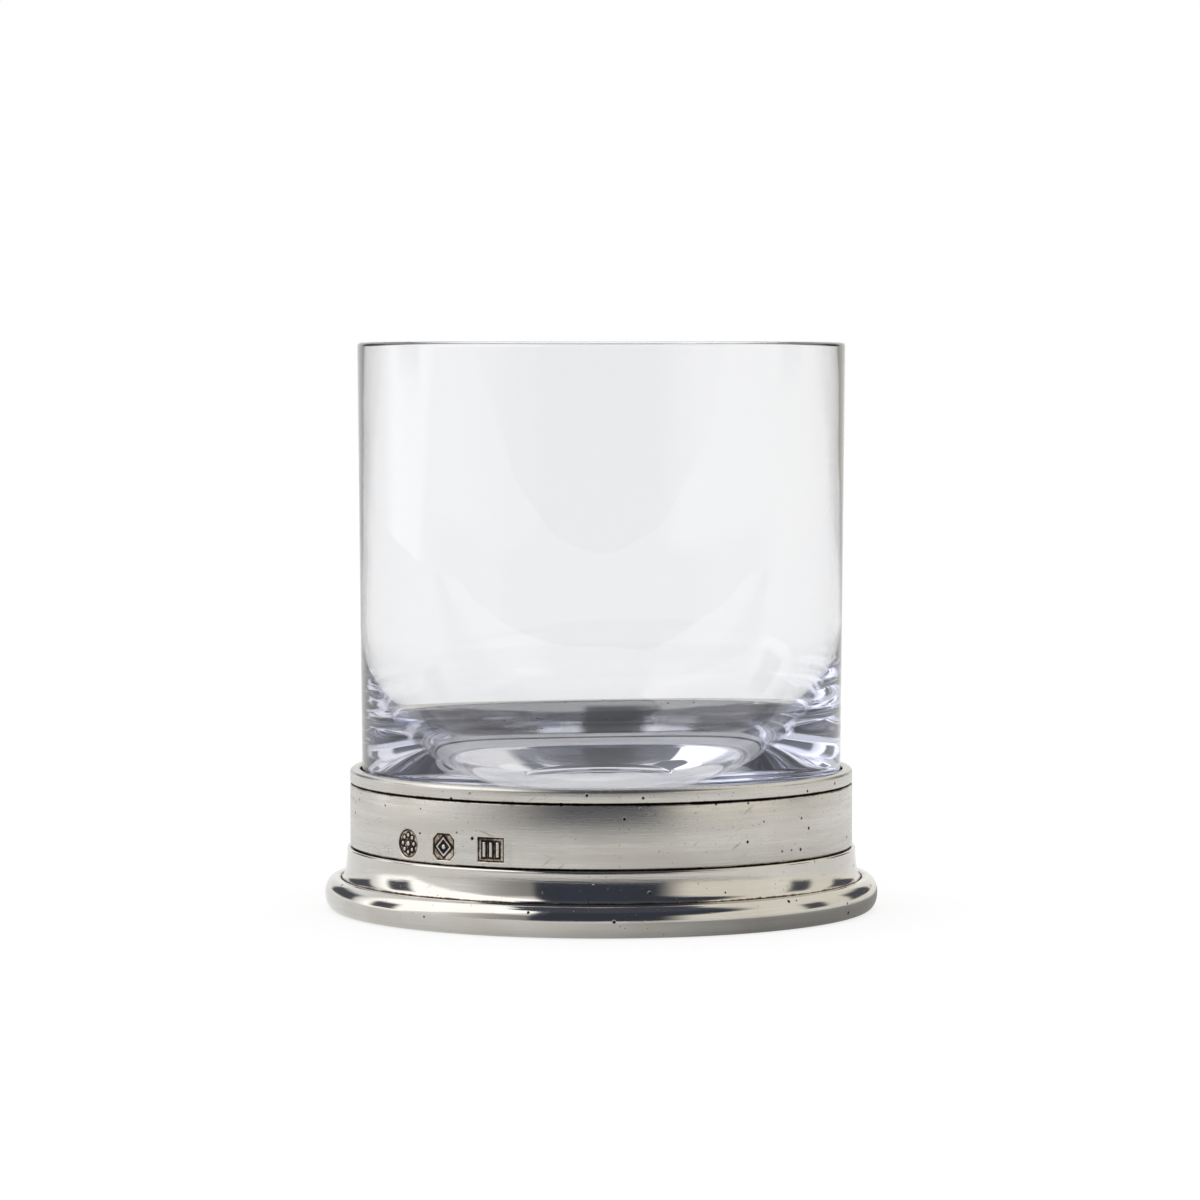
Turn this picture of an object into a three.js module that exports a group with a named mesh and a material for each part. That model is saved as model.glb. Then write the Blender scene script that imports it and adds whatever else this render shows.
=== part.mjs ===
// Rocks glass: a clear tumbler bonded into a turned pewter collar and foot.
// Millimetres, +Z up. The origin is the centre of the ring that the foot stands on.

import * as THREE from 'three';

// Glass
const OVERALL_HEIGHT = 90.6;
const RIM_RADIUS = 39.0;
const GLASS_TAPER = 0.8;
const RIM_WALL = 1.2;
const LOWER_WALL = 1.15;
const BASE_THICKNESS = 5.4;
const BOWL_DEPTH = 37.5;
const BOWL_SQUARENESS = 2.4;
const GLASS_CORNER = 6.0;
const KICK_RADIUS = 15.0;
const KICK_HEIGHT = 1.5;

// Pewter collar band
const COLLAR_WALL = 1.62;
const BAND_HEIGHT = 10.2;
const LIP_HEIGHT = 2.4;
const LIP_OUTER_ROUND = 0.7;
const LIP_INNER_ROUND = 0.35;
const GROOVE_WIDTH = 0.5;
const GROOVE_DEPTH = 0.35;

// Pewter foot ring
const BEAD_HEIGHT = 5.1;
const BEAD_BULGE = 1.55;
const LEDGE_WIDTH = 1.1;
const COVE_HEIGHT = 4.9;
const COVE_FLARE = 0.9;
const FOOT_STEP = 0.5;
const FOOT_EDGE_ROUND = 0.35;
const TONGUE_LENGTH = 2.0;
const TONGUE_WALL = 0.6;

// Seat ring and bond under the glass
const SEAT_RECESS = 1.2;
const SEAT_THICKNESS = 1.7;
const SEAT_LAP = 2.0;
const SEAT_HOLD = 2.2;
const BOND_THICKNESS = 0.3;
const BOND_MARGIN = 0.3;
const BOND_FOOT_ANGLE = -78;

// Fits
const GLASS_CLEARANCE = 0.3;
const SOLDER_CLEARANCE = 0.3;

// Facets round the axis, the same on every piece so that the gaps stay even
const FACETS = 64;

// Steps along the curves of each section
const KICK_STEPS = 6;
const CORNER_STEPS = 6;
const BOND_STEPS = 6;
const RIM_STEPS = 6;
const BOWL_STEPS = 16;
const LIP_OUTER_STEPS = 4;
const LIP_INNER_STEPS = 3;
const BEAD_STEPS = 10;
const COVE_STEPS = 6;
const FOOT_EDGE_STEPS = 3;

// Heights, from the table up
const seatTop = SEAT_RECESS + SEAT_THICKNESS;
const glassSeat = seatTop + BOND_THICKNESS;
const glassFloor = glassSeat + BASE_THICKNESS;
const bowlTop = glassFloor + BOWL_DEPTH;
const coveTop = BEAD_HEIGHT + COVE_HEIGHT;
const bandTop = coveTop + BAND_HEIGHT;
const lipTop = bandTop + LIP_HEIGHT;

// Radii, from the glass out
const tongueFoot = coveTop - TONGUE_LENGTH;
const collarBore = Math.max(glassRadius(lipTop), glassRadius(tongueFoot)) + GLASS_CLEARANCE;
const collarRadius = collarBore + COLLAR_WALL;
const footTopRadius = collarRadius + FOOT_STEP;
const coveFootRadius = footTopRadius + COVE_FLARE;
const beadRadius = coveFootRadius + LEDGE_WIDTH;
const footBore = collarBore + TONGUE_WALL + SOLDER_CLEARANCE;
const seatOuter = footBore - SOLDER_CLEARANCE;
const heelRadius = glassRadius(glassSeat + GLASS_CORNER) - GLASS_CORNER;
const seatInner = heelRadius - SEAT_HOLD;
const cornerCentre = point(heelRadius, glassSeat + GLASS_CORNER);

// Outside of the glass, which tapers a little from the rim down to its seat
function glassRadius(height) {
  const share = (OVERALL_HEIGHT - height) / (OVERALL_HEIGHT - glassSeat);
  return RIM_RADIUS - GLASS_TAPER * share;
}

function point(radius, height) {
  return new THREE.Vector2(radius, height);
}

// Part of an ellipse in the section, angles in degrees from the outward direction
function arc(centre, halfWidth, halfHeight, fromAngle, toAngle, steps) {
  const points = [];
  for (let step = 0; step <= steps; step += 1) {
    const angle = THREE.MathUtils.degToRad(THREE.MathUtils.lerp(fromAngle, toAngle, step / steps));
    points.push(point(centre.x + halfWidth * Math.cos(angle), centre.y + halfHeight * Math.sin(angle)));
  }
  return points;
}

// A V cut into an upright face, from its lower edge to its upper edge
function groove(faceRadius, height) {
  return [
    point(faceRadius, height - GROOVE_WIDTH / 2),
    point(faceRadius - GROOVE_DEPTH, height),
    point(faceRadius, height + GROOVE_WIDTH / 2),
  ];
}

// A piece turned about Z. The section runs up the outside and down the inside.
function turned(name, section, material) {
  const geometry = new THREE.LatheGeometry(section, FACETS);
  geometry.rotateX(Math.PI / 2);
  const mesh = new THREE.Mesh(geometry, material);
  mesh.name = name;
  return mesh;
}

function closed(section) {
  return [...section, section[0].clone()];
}

// Shallow dome under the glass, from the axis out to the ring that it stands on
function kickSection() {
  const sphere = (KICK_RADIUS ** 2 + KICK_HEIGHT ** 2) / (2 * KICK_HEIGHT);
  const centre = point(0, glassSeat + KICK_HEIGHT - sphere);
  const edgeAngle = THREE.MathUtils.radToDeg(Math.acos(KICK_RADIUS / sphere));
  const dome = arc(centre, sphere, sphere, 90, edgeAngle, KICK_STEPS);
  dome[0].x = 0;
  return dome;
}

// Inside of the glass below its straight wall: a squared ellipse down to the floor on the axis
function bowlSection() {
  const bowlRadius = glassRadius(bowlTop) - LOWER_WALL;
  const power = 2 / BOWL_SQUARENESS;
  const points = [];
  for (let step = 0; step < BOWL_STEPS; step += 1) {
    const angle = (Math.PI / 2) * (step / BOWL_STEPS);
    const radius = bowlRadius * Math.cos(angle) ** power;
    points.push(point(radius, bowlTop - BOWL_DEPTH * Math.sin(angle) ** power));
  }
  points.push(point(0, glassFloor));
  return points;
}

function glassTumbler(material) {
  const rimRound = RIM_WALL / 2;
  const rimCentre = point(RIM_RADIUS - rimRound, OVERALL_HEIGHT - rimRound);
  const section = [
    ...kickSection(),
    ...arc(cornerCentre, GLASS_CORNER, GLASS_CORNER, -90, 0, CORNER_STEPS),
    ...arc(rimCentre, rimRound, rimRound, 0, 180, RIM_STEPS),
    ...bowlSection(),
  ];
  return turned('glass_tumbler', section, material);
}

function collarBand(material) {
  const tongueRadius = collarBore + TONGUE_WALL;
  const lipOuter = point(collarRadius - LIP_OUTER_ROUND, lipTop - LIP_OUTER_ROUND);
  const lipInner = point(collarBore + LIP_INNER_ROUND, lipTop - LIP_INNER_ROUND);
  const section = [
    point(collarBore, tongueFoot),
    point(tongueRadius, tongueFoot),
    point(tongueRadius, coveTop),
    point(collarRadius - GROOVE_DEPTH, coveTop),
    point(collarRadius, coveTop + GROOVE_DEPTH),
    ...groove(collarRadius, bandTop),
    ...arc(lipOuter, LIP_OUTER_ROUND, LIP_OUTER_ROUND, 0, 90, LIP_OUTER_STEPS),
    ...arc(lipInner, LIP_INNER_ROUND, LIP_INNER_ROUND, 90, 180, LIP_INNER_STEPS),
  ];
  return turned('collar_band', closed(section), material);
}

function footRing(material) {
  const ledgeRadius = seatOuter - SEAT_LAP;
  const beadCentre = point(beadRadius, BEAD_HEIGHT / 2);
  const coveCentre = point(coveFootRadius, coveTop - FOOT_EDGE_ROUND);
  const edgeCentre = point(footTopRadius - FOOT_EDGE_ROUND, coveTop - FOOT_EDGE_ROUND);
  const section = [
    point(ledgeRadius, 0),
    ...arc(beadCentre, BEAD_BULGE, BEAD_HEIGHT / 2, -90, 90, BEAD_STEPS),
    point(coveFootRadius + GROOVE_WIDTH / 2, BEAD_HEIGHT),
    point(coveFootRadius, BEAD_HEIGHT - GROOVE_DEPTH),
    ...arc(coveCentre, COVE_FLARE, coveCentre.y - BEAD_HEIGHT, 270, 180, COVE_STEPS),
    ...arc(edgeCentre, FOOT_EDGE_ROUND, FOOT_EDGE_ROUND, 0, 90, FOOT_EDGE_STEPS).slice(1),
    point(footBore, coveTop),
    point(footBore, SEAT_RECESS),
    point(ledgeRadius, SEAT_RECESS),
  ];
  return turned('foot_ring', closed(section), material);
}

// Flat ring soldered on the foot's inner ledge. The glass stands on it, and its middle is open.
function seatRing(material) {
  const section = [
    point(seatInner, SEAT_RECESS),
    point(seatOuter, SEAT_RECESS),
    point(seatOuter, seatTop),
    point(seatInner, seatTop),
  ];
  return turned('seat_ring', closed(section), material);
}

// Adhesive under the glass: a thin film on the seat ring, and outside it a bead that was pressed
// out round the heel, up to the foot of the collar's tongue or the top of the heel
function bondRing(material) {
  const innerRadius = seatInner + BOND_MARGIN;
  const filmRadius = heelRadius - BOND_MARGIN;
  const wallRadius = seatOuter - BOND_MARGIN;
  const bondTop = Math.min(tongueFoot - SOLDER_CLEARANCE, cornerCentre.y);
  const reach = GLASS_CORNER + BOND_THICKNESS;
  const topAngle = THREE.MathUtils.radToDeg(Math.asin((bondTop - cornerCentre.y) / reach));
  const section = [
    point(innerRadius, seatTop),
    point(wallRadius, seatTop),
    point(wallRadius, bondTop),
    ...arc(cornerCentre, reach, reach, topAngle, BOND_FOOT_ANGLE, BOND_STEPS),
    point(filmRadius, glassSeat),
    point(innerRadius, glassSeat),
  ];
  return turned('bond_ring', closed(section), material);
}

const clearGlass = new THREE.MeshStandardMaterial({
  color: 0xf2f5f7,
  roughness: 0.03,
  metalness: 0.0,
  transparent: true,
  opacity: 0.35,
});
const satinPewter = new THREE.MeshStandardMaterial({ color: 0xb9b4aa, roughness: 0.35, metalness: 1.0 });
const turnedPewter = new THREE.MeshStandardMaterial({ color: 0xaaa59b, roughness: 0.4, metalness: 1.0 });
const paleBond = new THREE.MeshStandardMaterial({ color: 0xf0f0f1, roughness: 0.4, metalness: 0.0 });

const rocksGlass = new THREE.Group();
rocksGlass.name = 'rocks_glass';
rocksGlass.add(
  glassTumbler(clearGlass),
  collarBand(satinPewter),
  footRing(satinPewter),
  seatRing(turnedPewter),
  bondRing(paleBond),
);

export default rocksGlass;
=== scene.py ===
# %% [markdown]
# A rocks glass in a pewter mount. A short clear tumbler stands in a turned pewter collar with a
# rounded lip, above a hollow cove and a round bead that meets the table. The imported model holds
# every piece at its real size, so this lesson dresses those pieces and changes no dimension.
# Everything is in metres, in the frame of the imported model, with +Z up along the glass axis.

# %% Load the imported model
import math

import bmesh
import bpy
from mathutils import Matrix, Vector, noise


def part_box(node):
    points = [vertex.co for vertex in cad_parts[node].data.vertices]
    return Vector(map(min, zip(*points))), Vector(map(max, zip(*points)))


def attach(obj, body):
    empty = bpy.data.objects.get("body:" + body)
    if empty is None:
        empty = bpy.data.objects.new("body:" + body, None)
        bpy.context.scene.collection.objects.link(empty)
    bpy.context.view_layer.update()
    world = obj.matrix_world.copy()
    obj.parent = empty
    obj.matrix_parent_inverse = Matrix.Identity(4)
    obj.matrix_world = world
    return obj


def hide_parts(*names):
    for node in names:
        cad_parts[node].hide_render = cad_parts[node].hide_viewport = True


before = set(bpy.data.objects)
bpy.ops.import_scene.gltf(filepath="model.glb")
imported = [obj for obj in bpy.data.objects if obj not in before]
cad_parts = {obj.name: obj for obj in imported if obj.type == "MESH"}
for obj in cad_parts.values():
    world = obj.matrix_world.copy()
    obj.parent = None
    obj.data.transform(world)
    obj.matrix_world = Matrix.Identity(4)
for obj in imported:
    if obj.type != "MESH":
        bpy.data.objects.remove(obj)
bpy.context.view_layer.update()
MM = 0.001
print("nodes:", ", ".join(sorted(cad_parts)))

# %% [markdown]
# Every driving size that the frame already knows is read from it. A turned piece is as wide as its
# box, so half of the box along X is the radius, and the box's low and high Z are its heights.

# %% Sizes read from the frame
glass_low, glass_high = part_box("glass_tumbler")
collar_low, collar_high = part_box("collar_band")
foot_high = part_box("foot_ring")[1]
seat_low, seat_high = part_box("seat_ring")
RIM_RADIUS = glass_high.x
RIM_TOP = glass_high.z
GLASS_SEAT = glass_low.z
COLLAR_RADIUS = collar_high.x
LIP_TOP = collar_high.z
TONGUE_FOOT = collar_low.z
FOOT_RADIUS = foot_high.x
COVE_TOP = foot_high.z
print(f"rim radius {RIM_RADIUS / MM:.1f} mm, rim top {RIM_TOP / MM:.1f} mm, lip top {LIP_TOP / MM:.1f} mm")

# %% [markdown]
# The camera comes before the pieces, because it decides how fine they have to be. The photograph
# was taken with a long lens from a little above the rim, so the sides stay almost parallel and the
# rim closes to a thin line. A camera in Blender looks down its own -Z, so a turn of a right angle
# less the pitch about X makes it look along +Y and slightly down.

# %% Camera
CAMERA_BACK = 0.8008
CAMERA_HEIGHT = 0.0938
CAMERA_ASIDE = -0.0002
CAMERA_PITCH = math.radians(3.18)
LENS_MM = 150.0
SENSOR_MM = 36.0

camera_data = bpy.data.cameras.new("studio_camera")
camera_data.lens = LENS_MM
camera_data.sensor_width = SENSOR_MM
camera_data.clip_start = 0.01
camera = bpy.data.objects.new("studio_camera", camera_data)
camera.location = (CAMERA_ASIDE, -CAMERA_BACK, CAMERA_HEIGHT)
camera.rotation_euler = (math.pi / 2 - CAMERA_PITCH, 0.0, 0.0)
bpy.context.scene.collection.objects.link(camera)
bpy.context.scene.camera = camera
print(f"camera {CAMERA_BACK:.2f} m back, {LENS_MM:.0f} mm lens")

# %% [markdown]
# Light rattles about inside a thick glass base. A path that is cut short comes back black, and too
# many of those turn the sides of the base grey, so the limits on bounces are raised well over the
# usual ones.

# %% Light paths
PATH_BOUNCES = 32
MIRROR_BOUNCES = 16

paths = bpy.context.scene.cycles
paths.max_bounces = PATH_BOUNCES
paths.transmission_bounces = PATH_BOUNCES
paths.glossy_bounces = MIRROR_BOUNCES
print(f"paths of up to {PATH_BOUNCES} bounces")

# %% [markdown]
# Shader nodes are wired by a few small helpers. A value given to a helper is either a number, which
# is set on the socket, or the output of another node, which is linked to it.

# %% Node helpers
def feed(tree, socket, value):
    """Set a socket to a number or colour, or link another node's output to it."""
    if isinstance(value, bpy.types.NodeSocket):
        tree.links.new(value, socket)
    else:
        socket.default_value = value


def add_node(tree, kind, inputs=None, **settings):
    """Add a node, set its properties, and feed its inputs by name."""
    made = tree.nodes.new(kind)
    for name, value in settings.items():
        setattr(made, name, value)
    for name, value in (inputs or {}).items():
        feed(tree, made.inputs[name], value)
    return made


def place_on_piece(tree):
    """The place on the piece, in metres from its origin."""
    return add_node(tree, "ShaderNodeTexCoord").outputs["Object"]


def axes_of(tree, vector):
    """The X, Y and Z of a vector."""
    return add_node(tree, "ShaderNodeSeparateXYZ", {"Vector": vector}).outputs


def calc(tree, operation, *values):
    """One step of arithmetic, clamped only where the operation says so."""
    made = add_node(tree, "ShaderNodeMath", operation=operation)
    for socket, value in zip(made.inputs, values):
        feed(tree, socket, value)
    return made.outputs["Value"]


def times(tree, first, second):
    """The product of two values."""
    return calc(tree, "MULTIPLY", first, second)


def ease(tree, value, low, high):
    """0 below low, 1 above high, with a smooth step between; low may be the larger."""
    inputs = {"Value": value, "From Min": low, "From Max": high}
    made = add_node(tree, "ShaderNodeMapRange", inputs, interpolation_type="SMOOTHSTEP")
    return made.outputs["Result"]


def spread(tree, value, low, high):
    """Stretch a value of 0 to 1 over low to high."""
    made = add_node(tree, "ShaderNodeMapRange", {"Value": value, "To Min": low, "To Max": high})
    return made.outputs["Result"]


def noise_value(tree, vector, scale, detail, **more):
    """A soft noise around 0.5, with this many features per unit and octaves of detail."""
    inputs = {"Vector": vector, "Scale": scale, "Detail": detail, **more}
    return add_node(tree, "ShaderNodeTexNoise", inputs).outputs["Fac"]


def blend_colour(tree, share, first, second):
    """Go from the first colour to the second as share goes from 0 to 1."""
    made = add_node(tree, "ShaderNodeMix", data_type="RGBA")
    factor, colour_a, colour_b = made.inputs[0], made.inputs[6], made.inputs[7]
    feed(tree, factor, share)
    feed(tree, colour_a, first)
    feed(tree, colour_b, second)
    return made.outputs[2]


def start_group(name, inputs, outputs):
    """A node group with float sockets; returns its tree, what it is given and what it puts out."""
    tree = bpy.data.node_groups.new(name, "ShaderNodeTree")
    for socket_name, value in inputs.items():
        socket = tree.interface.new_socket(socket_name, in_out="INPUT", socket_type="NodeSocketFloat")
        socket.default_value = value
    for socket_name in outputs:
        tree.interface.new_socket(socket_name, in_out="OUTPUT", socket_type="NodeSocketFloat")
    return tree, add_node(tree, "NodeGroupInput").outputs, add_node(tree, "NodeGroupOutput").inputs


def place_group(tree, group, inputs):
    """Put a node group into a material with its own values."""
    made = add_node(tree, "ShaderNodeGroup", node_tree=group)
    for name, value in inputs.items():
        feed(tree, made.inputs[name], value)
    return made.outputs


def start_material(name):
    """A new material; returns it, its tree and the inputs of its Principled shader."""
    material = bpy.data.materials.new(name)
    material.use_nodes = True
    tree = material.node_tree
    return material, tree, tree.nodes["Principled BSDF"].inputs


# %% [markdown]
# Pewter is turned on a lathe and rubbed with fine abrasive while it spins, so its marks run round
# the axis. The direction round the axis, as a unit vector, changes slowly along a mark, and height
# and radius change fast across it. A four-dimensional noise of those has no seam anywhere, and it
# works on an upright band, a sloping cove and a flat disc alike.

# %% Node group for lathe lines
LINE_CUT = (0.25, 0.75)


def make_lathe_lines():
    tree, given, result = start_group(
        "lathe_lines", {"Lines per Metre": 4000.0, "Turns": 4.0}, ["Lines"])
    place = place_on_piece(tree)
    parts = axes_of(tree, place)
    flat = add_node(tree, "ShaderNodeCombineXYZ", {"X": parts["X"], "Y": parts["Y"]}).outputs["Vector"]
    length = add_node(tree, "ShaderNodeVectorMath", operation="LENGTH")
    feed(tree, length.inputs[0], flat)
    around = add_node(tree, "ShaderNodeVectorMath", operation="NORMALIZE")
    feed(tree, around.inputs[0], flat)
    around = axes_of(tree, around.outputs["Vector"])
    across = given["Lines per Metre"]
    vector = add_node(tree, "ShaderNodeCombineXYZ", {
        "X": times(tree, around["X"], given["Turns"]),
        "Y": times(tree, around["Y"], given["Turns"]),
        "Z": times(tree, parts["Z"], across),
    }).outputs["Vector"]
    grain = add_node(tree, "ShaderNodeTexNoise", {
        "Vector": vector,
        "W": times(tree, length.outputs["Value"], across),
        "Scale": 1.0,
        "Detail": 3.0,
        "Roughness": 0.6,
    }, noise_dimensions="4D")
    feed(tree, result["Lines"], ease(tree, grain.outputs["Fac"], *LINE_CUT))
    return tree


lathe_lines = make_lathe_lines()
print("group:", lathe_lines.name)

# %% [markdown]
# Cast pewter carries pinholes that polishing opens. Voronoi cells scatter points through space, a
# share of the cells keeps its point, and each pit has its own size. Pits gather where the metal
# froze last, so a slow noise raises the share in some places and lowers it in others.

# %% Node group for casting pits
CROWD_CUT = (0.35, 0.7)
CROWD_SHARES = (0.3, 2.0)
PIT_SIZES = (0.35, 1.0)
PIT_CORE = 0.55


def make_casting_pits():
    tree, given, result = start_group(
        "casting_pits", {"Cells per Metre": 500.0, "Share": 0.3, "Pit Size": 0.1, "Gathers": 40.0}, ["Pits"])
    place = place_on_piece(tree)
    cells = add_node(tree, "ShaderNodeTexVoronoi", {
        "Vector": place, "Scale": given["Cells per Metre"]})
    chance = add_node(tree, "ShaderNodeSeparateColor", {"Color": cells.outputs["Color"]}).outputs
    slow = noise_value(tree, place, given["Gathers"], detail=2.0)
    crowd = spread(tree, ease(tree, slow, *CROWD_CUT), *CROWD_SHARES)
    kept = calc(tree, "LESS_THAN", chance["Red"], times(tree, given["Share"], crowd))
    reach = times(tree, given["Pit Size"], spread(tree, chance["Green"], *PIT_SIZES))
    core = times(tree, reach, PIT_CORE)
    hole = ease(tree, cells.outputs["Distance"], reach, core)
    feed(tree, result["Pits"], times(tree, hole, kept))
    return tree


casting_pits = make_casting_pits()
print("group:", casting_pits.name)

# %% [markdown]
# Pewter greys where a cloth can't reach. Each turned piece carries an attribute called hollow,
# which is 1 at the bottom of a groove or a punch mark and falls off beside it. This group breaks
# its border up with noise, and gives a second, wider mask for the brown fringe beside the dark.

# %% Node group for tarnish
SWELLS_PER_METRE = 260.0
RAGGED_SHARE = 0.7
UNEVEN_SHARE = 0.9
TARNISH_START = (0.0, 0.15)
TARNISH_DARK = (0.3, 0.75)
TARNISH_FRINGE = (0.12, 0.5)


def make_tarnish():
    tree, given, result = start_group(
        "tarnish", {"Hollow": 0.0, "Grain per Metre": 1500.0}, ["Dark", "Fringe"])
    place = place_on_piece(tree)
    grain = noise_value(tree, place, given["Grain per Metre"], detail=3.0)
    swell = noise_value(tree, place, SWELLS_PER_METRE, detail=2.0)
    ragged = times(tree, calc(tree, "SUBTRACT", grain, 0.5), RAGGED_SHARE)
    uneven = times(tree, calc(tree, "SUBTRACT", swell, 0.5), UNEVEN_SHARE)
    level = calc(tree, "ADD", given["Hollow"], calc(tree, "ADD", ragged, uneven))
    level = times(tree, level, ease(tree, given["Hollow"], *TARNISH_START))
    feed(tree, result["Dark"], ease(tree, level, *TARNISH_DARK))
    feed(tree, result["Fringe"], ease(tree, level, *TARNISH_FRINGE))
    return tree


tarnish = make_tarnish()
print("group:", tarnish.name)

# %% [markdown]
# Handling leaves short scratches that cross the lathe lines. A noise that is stretched along one
# slanted direction and cut off high gives thin streaks, and a second noise keeps them to a few
# patches.

# %% Node group for scuffs
SCUFF_STRETCH = 0.06
SCUFF_CUT = (0.66, 0.76)
SCUFF_PATCHES = 130.0
SCUFF_PATCH_CUT = (0.52, 0.66)


def make_scuffs():
    tree, given, result = start_group("scuffs", {"Slant": 0.5, "Streaks per Metre": 2600.0}, ["Scuffs"])
    place = place_on_piece(tree)
    turned = add_node(tree, "ShaderNodeVectorRotate", {
        "Vector": place, "Angle": given["Slant"]}, rotation_type="Y_AXIS").outputs["Vector"]
    parts = axes_of(tree, turned)
    across = given["Streaks per Metre"]
    along = times(tree, across, SCUFF_STRETCH)
    vector = add_node(tree, "ShaderNodeCombineXYZ", {
        "X": times(tree, parts["X"], along),
        "Y": times(tree, parts["Y"], along),
        "Z": times(tree, parts["Z"], across),
    }).outputs["Vector"]
    streak = noise_value(tree, vector, 1.0, detail=1.0)
    patch = noise_value(tree, place, SCUFF_PATCHES, detail=2.0)
    mask = times(tree, ease(tree, streak, *SCUFF_CUT), ease(tree, patch, *SCUFF_PATCH_CUT))
    feed(tree, result["Scuffs"], mask)
    return tree


scuffs = make_scuffs()
print("group:", scuffs.name)

# %% [markdown]
# The inside of the collar never gets polished. Its colour carries a painted reflection: a dark run
# down the back of the bore, and a painted highlight low on either side of it. An azimuth in the
# bore is in degrees from the back, towards +X, and a height in millimetres. The group puts out how
# dark and how bright the painted reflection is at each place.

# %% Node group for painted bore reflections
DARK_REFLECTION_RUN = (-4.5, 14.5)
DARK_REFLECTION_SOFT = 8.0
DARK_REFLECTION_TOP = (21.6, 19.6)
HIGHLIGHT_PATCHES = [(-18.6, -5.6, 14.6), (13.5, 30.0, 16.4)]
REFLECTION_EDGE = 1.8
PATCH_EDGE = 0.35
WAVERS_PER_METRE = 240.0


def make_painted_bore_reflections():
    tree, given, result = start_group("painted_bore_reflections", {"Waver": 3.0}, ["Dark", "Highlight"])
    place = place_on_piece(tree)
    parts = axes_of(tree, place)
    drift = noise_value(tree, place, WAVERS_PER_METRE, detail=3.0)
    drift = times(tree, calc(tree, "SUBTRACT", drift, 0.5), given["Waver"])
    turned = calc(tree, "ARCTAN2", parts["X"], parts["Y"])
    turned = calc(tree, "ADD", calc(tree, "DEGREES", turned), drift)
    up = calc(tree, "DIVIDE", parts["Z"], MM)

    def between(low, high, soft):
        past_low = ease(tree, turned, low - REFLECTION_EDGE, low + REFLECTION_EDGE)
        return times(tree, past_low, ease(tree, turned, high + soft, high - soft))

    # Painted highlight: a bright patch low on either side of the dark run.
    bright = 0.0
    for low, high, top in HIGHLIGHT_PATCHES:
        below = ease(tree, up, top + PATCH_EDGE, top - PATCH_EDGE)
        patch = times(tree, between(low, high, REFLECTION_EDGE), below)
        bright = calc(tree, "MAXIMUM", bright, patch)
    # Painted reflection: a dark run down the back of the bore.
    run = times(tree, between(*DARK_REFLECTION_RUN, DARK_REFLECTION_SOFT), ease(tree, up, *DARK_REFLECTION_TOP))
    feed(tree, result["Dark"], run)
    feed(tree, result["Highlight"], bright)
    return tree


painted_bore_reflections = make_painted_bore_reflections()
print("group:", painted_bore_reflections.name)

# %% [markdown]
# The pewter finish joins these groups. Clouds of a slightly warmer grey vary the base colour,
# lathe lines vary both colour and roughness, and tarnish and pits darken it. The lines, scuffs and
# pits also drive a shallow bump. Brushing round the axis makes the gloss wider along the axis than
# across it, which is what the anisotropy on the shader does with a radial tangent. The attribute
# called inside marks a face that only the lathe tool has touched: it is smoother than the hand
# rubbed outside, and it has fine upright scratches from the glass that was pushed in. Its colour
# carries a painted reflection, a dark run with a painted highlight on either side, and painted
# shade that darkens it towards the bottom.

# %% Pewter finish
PEWTER_DARK = (0.020, 0.019, 0.021, 1.0)
PEWTER_FRINGE = (0.24, 0.165, 0.105, 1.0)
BORE_GREY = (0.55, 0.545, 0.53, 1.0)
# Painted shade: the bore turns to this darker grey towards its bottom.
BORE_SHADED_GREY = (0.38, 0.375, 0.37, 1.0)
BORE_DARK_REFLECTION = (0.05, 0.05, 0.052, 1.0)
BORE_HIGHLIGHT = (0.96, 0.955, 0.945, 1.0)
BORE_ROUGHNESS = 0.07
BORE_SHADE = (17.0 * MM, 12.0 * MM)
CLOUDS_PER_METRE = 70.0
CLOUD_CUT = (0.35, 0.7)
SCUFF_SLANTS = (0.7, -0.35)
RUBS_PER_METRE = (2200.0, 2200.0, 90.0)
RUB_CUT = (0.5, 0.75)
LINE_TINT = 0.6
BORE_LINE_TINT = 0.5
SPECK_SHARE = 0.5
SCUFF_TINT = 0.35
RUB_ROUGHNESS = 0.12
MARK_ROUGHNESS = 0.25
LINE_RELIEF = 0.12
SCUFF_RELIEF = 0.3
RELIEF_DEPTH = 0.12 * MM


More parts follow.
